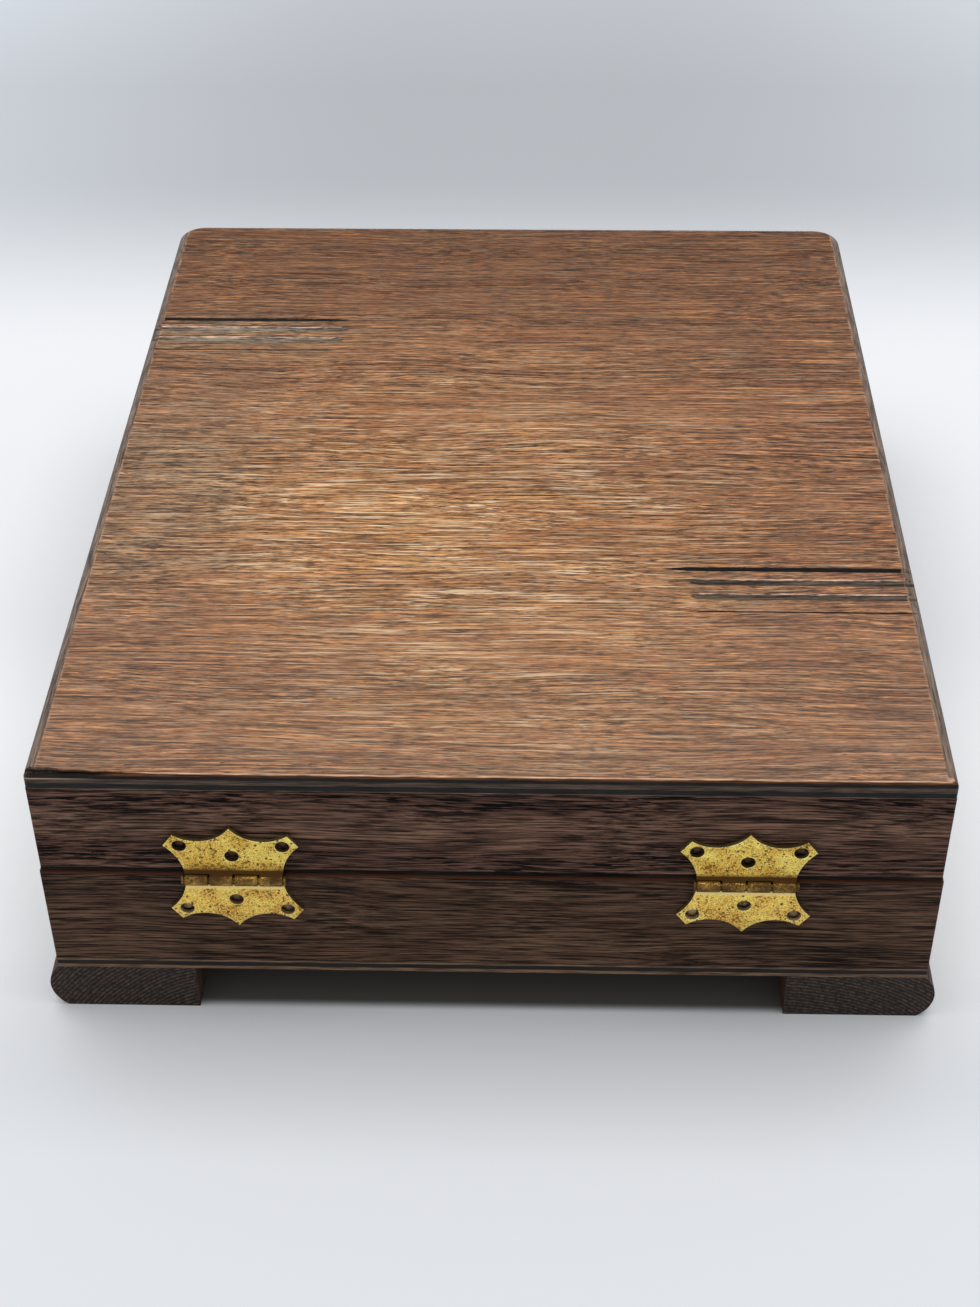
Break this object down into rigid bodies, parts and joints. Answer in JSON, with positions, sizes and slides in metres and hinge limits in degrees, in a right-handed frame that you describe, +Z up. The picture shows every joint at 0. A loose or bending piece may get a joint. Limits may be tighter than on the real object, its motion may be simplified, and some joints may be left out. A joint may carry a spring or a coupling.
{
  "type": "silverware chest",
  "caption": "Shallow oak chest for flatware: hinged lid with slotted knife racks, cloth-lined base with slotted rests, brass butterfly hinges, a swing-hook catch and two runners.",
  "frame": {"origin": "on the table, under the middle of the chest's bounding box", "axes": "+Z up; +Y to the back, where the hinges are; +X to the left of someone who looks at the back, which is the side the picture shows"},
  "size_m": [0.2614, 0.3252, 0.0933],
  "materials": {
    "top_plywood": "three-ply oak, stained red-brown and worn",
    "wall_oak": "oak, stained dark brown",
    "bottom_plywood": "three-ply, stained, plies seen at the edge",
    "runner_oak": "oak, dark end grain",
    "hinge_brass": "stamped brass, speckled with tarnish",
    "hinge_pin": "tarnished brass",
    "nails": "tarnished brass",
    "catch_brass": "brass, lightly tarnished",
    "screw_steel": "plain steel, slotted",
    "velvet": "short-pile brown cloth over card or wood"
  },
  "bodies": {
    "base": {"base_back_lining": "velvet", "base_back_rest": "velvet", "base_back_wall": "wall_oak", "base_floor_pad": "velvet", "base_front_lining": "velvet", "base_front_rest": "velvet", "base_front_wall": "wall_oak", "base_hinge_nails": "nails", "base_left_lining": "velvet", "base_left_wall": "wall_oak", "base_right_lining": "velvet", "base_right_wall": "wall_oak", "bottom_panel": "bottom_plywood", "catch_base_nails": "nails", "catch_base_plate": "catch_brass", "catch_pivot_pin": "catch_brass", "hinge_base_leaf_left": "hinge_brass", "hinge_base_leaf_right": "hinge_brass", "hinge_pin_left": "hinge_pin", "hinge_pin_right": "hinge_pin", "runner_left": "runner_oak", "runner_right": "runner_oak", "runner_screws": "screw_steel"},
    "lid": {"catch_keeper_nails": "nails", "catch_keeper_plate": "catch_brass", "catch_stud": "catch_brass", "hinge_lid_leaf_left": "hinge_brass", "hinge_lid_leaf_right": "hinge_brass", "lid_back_lining": "velvet", "lid_back_wall": "wall_oak", "lid_blade_rack": "velvet", "lid_ceiling_pad": "velvet", "lid_front_lining": "velvet", "lid_front_wall": "wall_oak", "lid_handle_rack": "velvet", "lid_hinge_nails": "nails", "lid_left_lining": "velvet", "lid_left_wall": "wall_oak", "lid_right_lining": "velvet", "lid_right_wall": "wall_oak", "lid_top_panel": "top_plywood"},
    "hook": {"catch_hook": "catch_brass"}
  },
  "joints": [
    {"name": "lid_hinge", "type": "hinge", "parent": "base", "child": "lid", "pos_m": [0, 0.1608, 0.0552], "axis": [-1, 0, 0], "range_deg": [0, 180]},
    {"name": "catch_swing", "type": "hinge", "parent": "base", "child": "hook", "pos_m": [0, -0.15925, 0.0478], "axis": [0, -1, 0], "range_deg": [-150, 180]}
  ]
}
